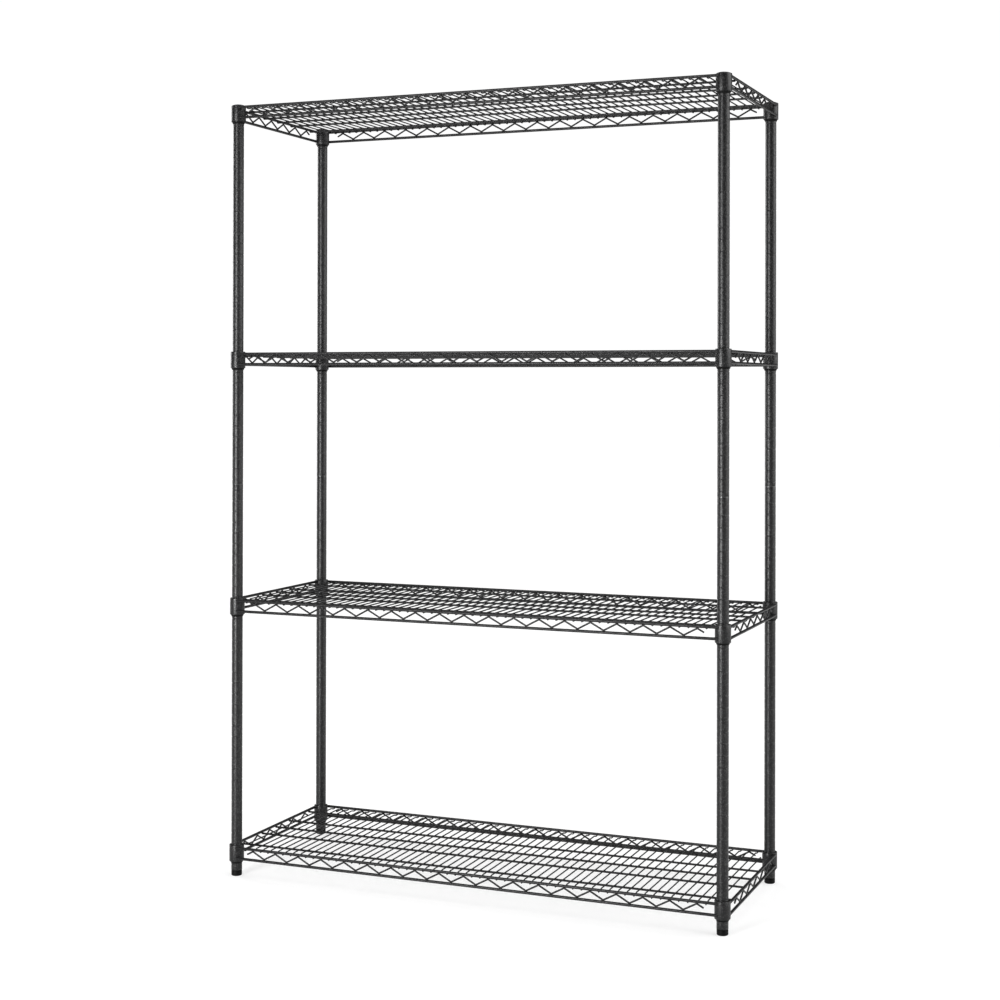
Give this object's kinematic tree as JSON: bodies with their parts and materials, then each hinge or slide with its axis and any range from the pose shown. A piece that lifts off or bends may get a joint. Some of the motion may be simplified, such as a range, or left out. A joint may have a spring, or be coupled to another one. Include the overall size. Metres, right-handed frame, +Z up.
{
  "type": "wire shelving rack",
  "caption": "Free-standing wire shelving rack: round grooved posts, welded wire shelves wedged on split sleeves, screw-in levelling feet.",
  "frame": {"origin": "on the floor, at the centre of the rack's footprint", "axes": "+Z up along the posts, +X to the right along the long side, -Y towards the front"},
  "size_m": [1.2192, 0.4572, 1.8288],
  "materials": {
    "post_coat": "textured charcoal powder coat, semi-matte",
    "collar_coat": "textured charcoal powder coat, semi-matte",
    "wire_coat": "textured charcoal powder coat over welded wire, semi-matte",
    "cap_plastic": "moulded black plastic, satin",
    "foot_plastic": "moulded black plastic, matte",
    "sleeve_plastic": "moulded black plastic, satin",
    "zinc_steel": "bright zinc plate"
  },
  "bodies": {
    "root": {"lower_post_front_left": "post_coat", "upper_post_front_left": "post_coat", "post_cap_front_left": "cap_plastic", "lower_post_front_right": "post_coat", "upper_post_front_right": "post_coat", "post_cap_front_right": "cap_plastic", "lower_post_rear_right": "post_coat", "upper_post_rear_right": "post_coat", "post_cap_rear_right": "cap_plastic", "lower_post_rear_left": "post_coat", "upper_post_rear_left": "post_coat", "post_cap_rear_left": "cap_plastic", "foot_inserts": "foot_plastic", "joining_nuts": "zinc_steel", "joining_studs": "zinc_steel", "shelf_1_sleeves": "sleeve_plastic", "shelf_2_sleeves": "sleeve_plastic", "shelf_3_sleeves": "sleeve_plastic", "shelf_4_sleeves": "sleeve_plastic"},
    "shelf_1": {"shelf_1_collars": "collar_coat", "shelf_1_top_rails": "wire_coat", "shelf_1_bottom_rails": "wire_coat", "shelf_1_front_truss": "wire_coat", "shelf_1_rear_truss": "wire_coat", "shelf_1_end_trusses": "wire_coat", "shelf_1_ribs": "wire_coat", "shelf_1_deck_wires": "wire_coat"},
    "shelf_2": {"shelf_2_collars": "collar_coat", "shelf_2_top_rails": "wire_coat", "shelf_2_bottom_rails": "wire_coat", "shelf_2_front_truss": "wire_coat", "shelf_2_rear_truss": "wire_coat", "shelf_2_end_trusses": "wire_coat", "shelf_2_ribs": "wire_coat", "shelf_2_deck_wires": "wire_coat"},
    "shelf_3": {"shelf_3_collars": "collar_coat", "shelf_3_top_rails": "wire_coat", "shelf_3_bottom_rails": "wire_coat", "shelf_3_front_truss": "wire_coat", "shelf_3_rear_truss": "wire_coat", "shelf_3_end_trusses": "wire_coat", "shelf_3_ribs": "wire_coat", "shelf_3_deck_wires": "wire_coat"},
    "shelf_4": {"shelf_4_collars": "collar_coat", "shelf_4_top_rails": "wire_coat", "shelf_4_bottom_rails": "wire_coat", "shelf_4_front_truss": "wire_coat", "shelf_4_rear_truss": "wire_coat", "shelf_4_end_trusses": "wire_coat", "shelf_4_ribs": "wire_coat", "shelf_4_deck_wires": "wire_coat"},
    "foot_stem_front_left": {"foot_stem_front_left": "zinc_steel"},
    "foot_pad_front_left": {"foot_pad_front_left": "foot_plastic"},
    "foot_stem_front_right": {"foot_stem_front_right": "zinc_steel"},
    "foot_pad_front_right": {"foot_pad_front_right": "foot_plastic"},
    "foot_stem_rear_right": {"foot_stem_rear_right": "zinc_steel"},
    "foot_pad_rear_right": {"foot_pad_rear_right": "foot_plastic"},
    "foot_stem_rear_left": {"foot_stem_rear_left": "zinc_steel"},
    "foot_pad_rear_left": {"foot_pad_rear_left": "foot_plastic"}
  },
  "joints": [
    {"name": "shelf_1_lift", "type": "slide", "parent": "root", "child": "shelf_1", "axis": [0, 0, 1], "range_m": [0, 0.54]},
    {"name": "shelf_2_lift", "type": "slide", "parent": "root", "child": "shelf_2", "axis": [0, 0, 1], "range_m": [0, 0.54]},
    {"name": "shelf_3_lift", "type": "slide", "parent": "root", "child": "shelf_3", "axis": [0, 0, 1], "range_m": [0, 0.54]},
    {"name": "shelf_4_lift", "type": "slide", "parent": "root", "child": "shelf_4", "axis": [0, 0, 1], "range_m": [0, 0.04]},
    {"name": "foot_extend_front_left", "type": "slide", "parent": "root", "child": "foot_stem_front_left", "axis": [0, 0, -1], "range_m": [0, 0.0127]},
    {"name": "foot_turn_front_left", "type": "hinge", "parent": "foot_stem_front_left", "child": "foot_pad_front_left", "pos_m": [-0.5923, -0.2113, 0.006], "axis": [0, 0, -1], "range_deg": [0, 2880]},
    {"name": "foot_extend_front_right", "type": "slide", "parent": "root", "child": "foot_stem_front_right", "axis": [0, 0, -1], "range_m": [0, 0.0127]},
    {"name": "foot_turn_front_right", "type": "hinge", "parent": "foot_stem_front_right", "child": "foot_pad_front_right", "pos_m": [0.5923, -0.2113, 0.006], "axis": [0, 0, -1], "range_deg": [0, 2880]},
    {"name": "foot_extend_rear_right", "type": "slide", "parent": "root", "child": "foot_stem_rear_right", "axis": [0, 0, -1], "range_m": [0, 0.0127]},
    {"name": "foot_turn_rear_right", "type": "hinge", "parent": "foot_stem_rear_right", "child": "foot_pad_rear_right", "pos_m": [0.5923, 0.2113, 0.006], "axis": [0, 0, -1], "range_deg": [0, 2880]},
    {"name": "foot_extend_rear_left", "type": "slide", "parent": "root", "child": "foot_stem_rear_left", "axis": [0, 0, -1], "range_m": [0, 0.0127]},
    {"name": "foot_turn_rear_left", "type": "hinge", "parent": "foot_stem_rear_left", "child": "foot_pad_rear_left", "pos_m": [-0.5923, 0.2113, 0.006], "axis": [0, 0, -1], "range_deg": [0, 2880]}
  ],
  "couplings": [
    {"joint": "foot_turn_front_left", "follows": "foot_extend_front_left", "rad_per_m": 3957.9},
    {"joint": "foot_turn_front_right", "follows": "foot_extend_front_right", "rad_per_m": 3957.9},
    {"joint": "foot_turn_rear_right", "follows": "foot_extend_rear_right", "rad_per_m": 3957.9},
    {"joint": "foot_turn_rear_left", "follows": "foot_extend_rear_left", "rad_per_m": 3957.9}
  ]
}
